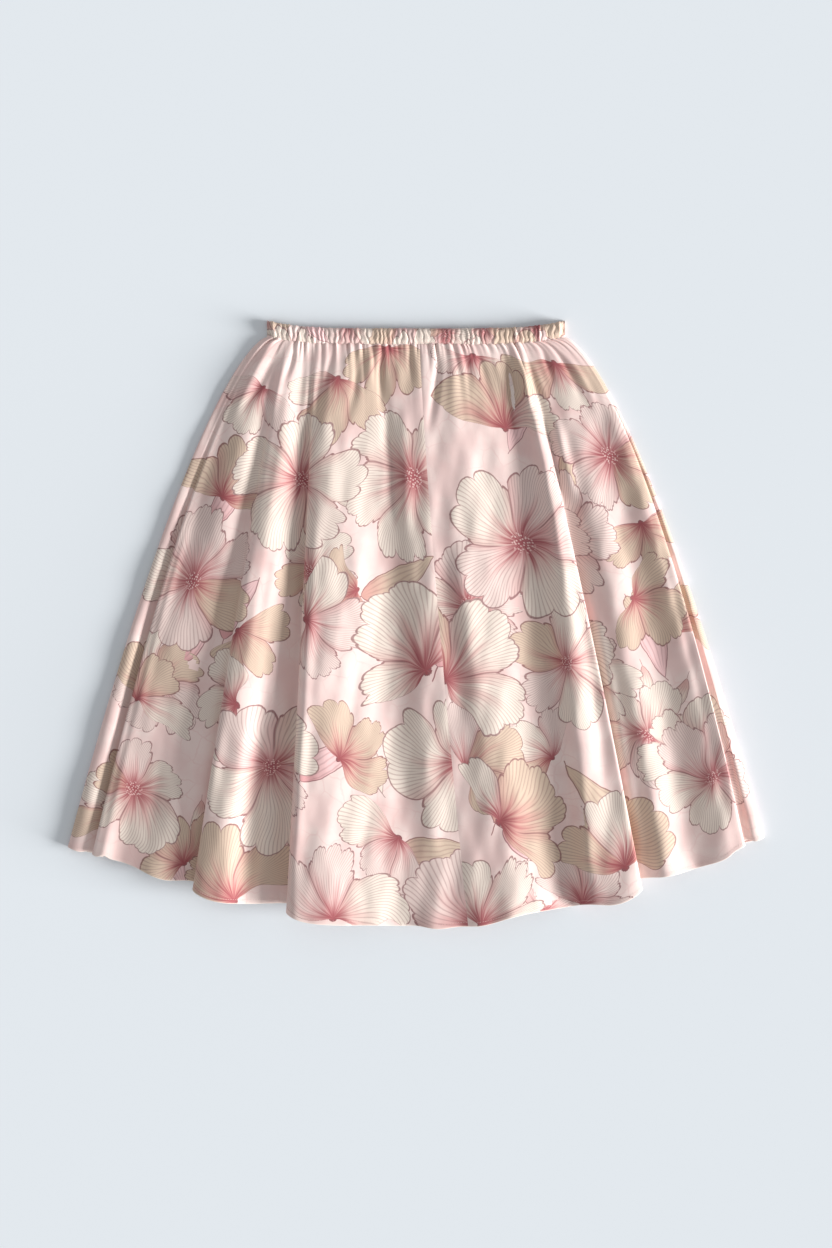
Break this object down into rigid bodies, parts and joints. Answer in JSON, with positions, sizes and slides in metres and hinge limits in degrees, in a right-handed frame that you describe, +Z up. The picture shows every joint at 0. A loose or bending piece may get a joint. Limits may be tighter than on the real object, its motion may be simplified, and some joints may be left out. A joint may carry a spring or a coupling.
{
  "type": "a-line skirt laid flat",
  "caption": "Knee-length a-line skirt laid flat, gathered into an elastic waist casing, with soft folds that widen into a flared, turned hem.",
  "frame": {"origin": "middle of the bounding box at its base, on the surface that the skirt lies on", "axes": "+X across the skirt, the wearer's left with the front facing up; +Y from the hem to the waist; +Z up, out of the front"},
  "size_m": [0.775, 0.6742, 0.035],
  "materials": {
    "printed_cloth": "light woven cloth with a large flower print in blush, cream, tan and dusky rose, soft low sheen",
    "casing_cloth": "the same printed cloth, puckered over elastic",
    "hem_cloth": "the same printed cloth, turned and stitched into a narrow edge"
  },
  "bodies": {
    "root": {"front_left_panel": "printed_cloth", "front_right_panel": "printed_cloth", "back_panel": "printed_cloth", "waistband_front": "casing_cloth", "waistband_back": "casing_cloth", "hem_front_left": "hem_cloth", "hem_front_right": "hem_cloth", "hem_back": "hem_cloth"}
  },
  "joints": []
}
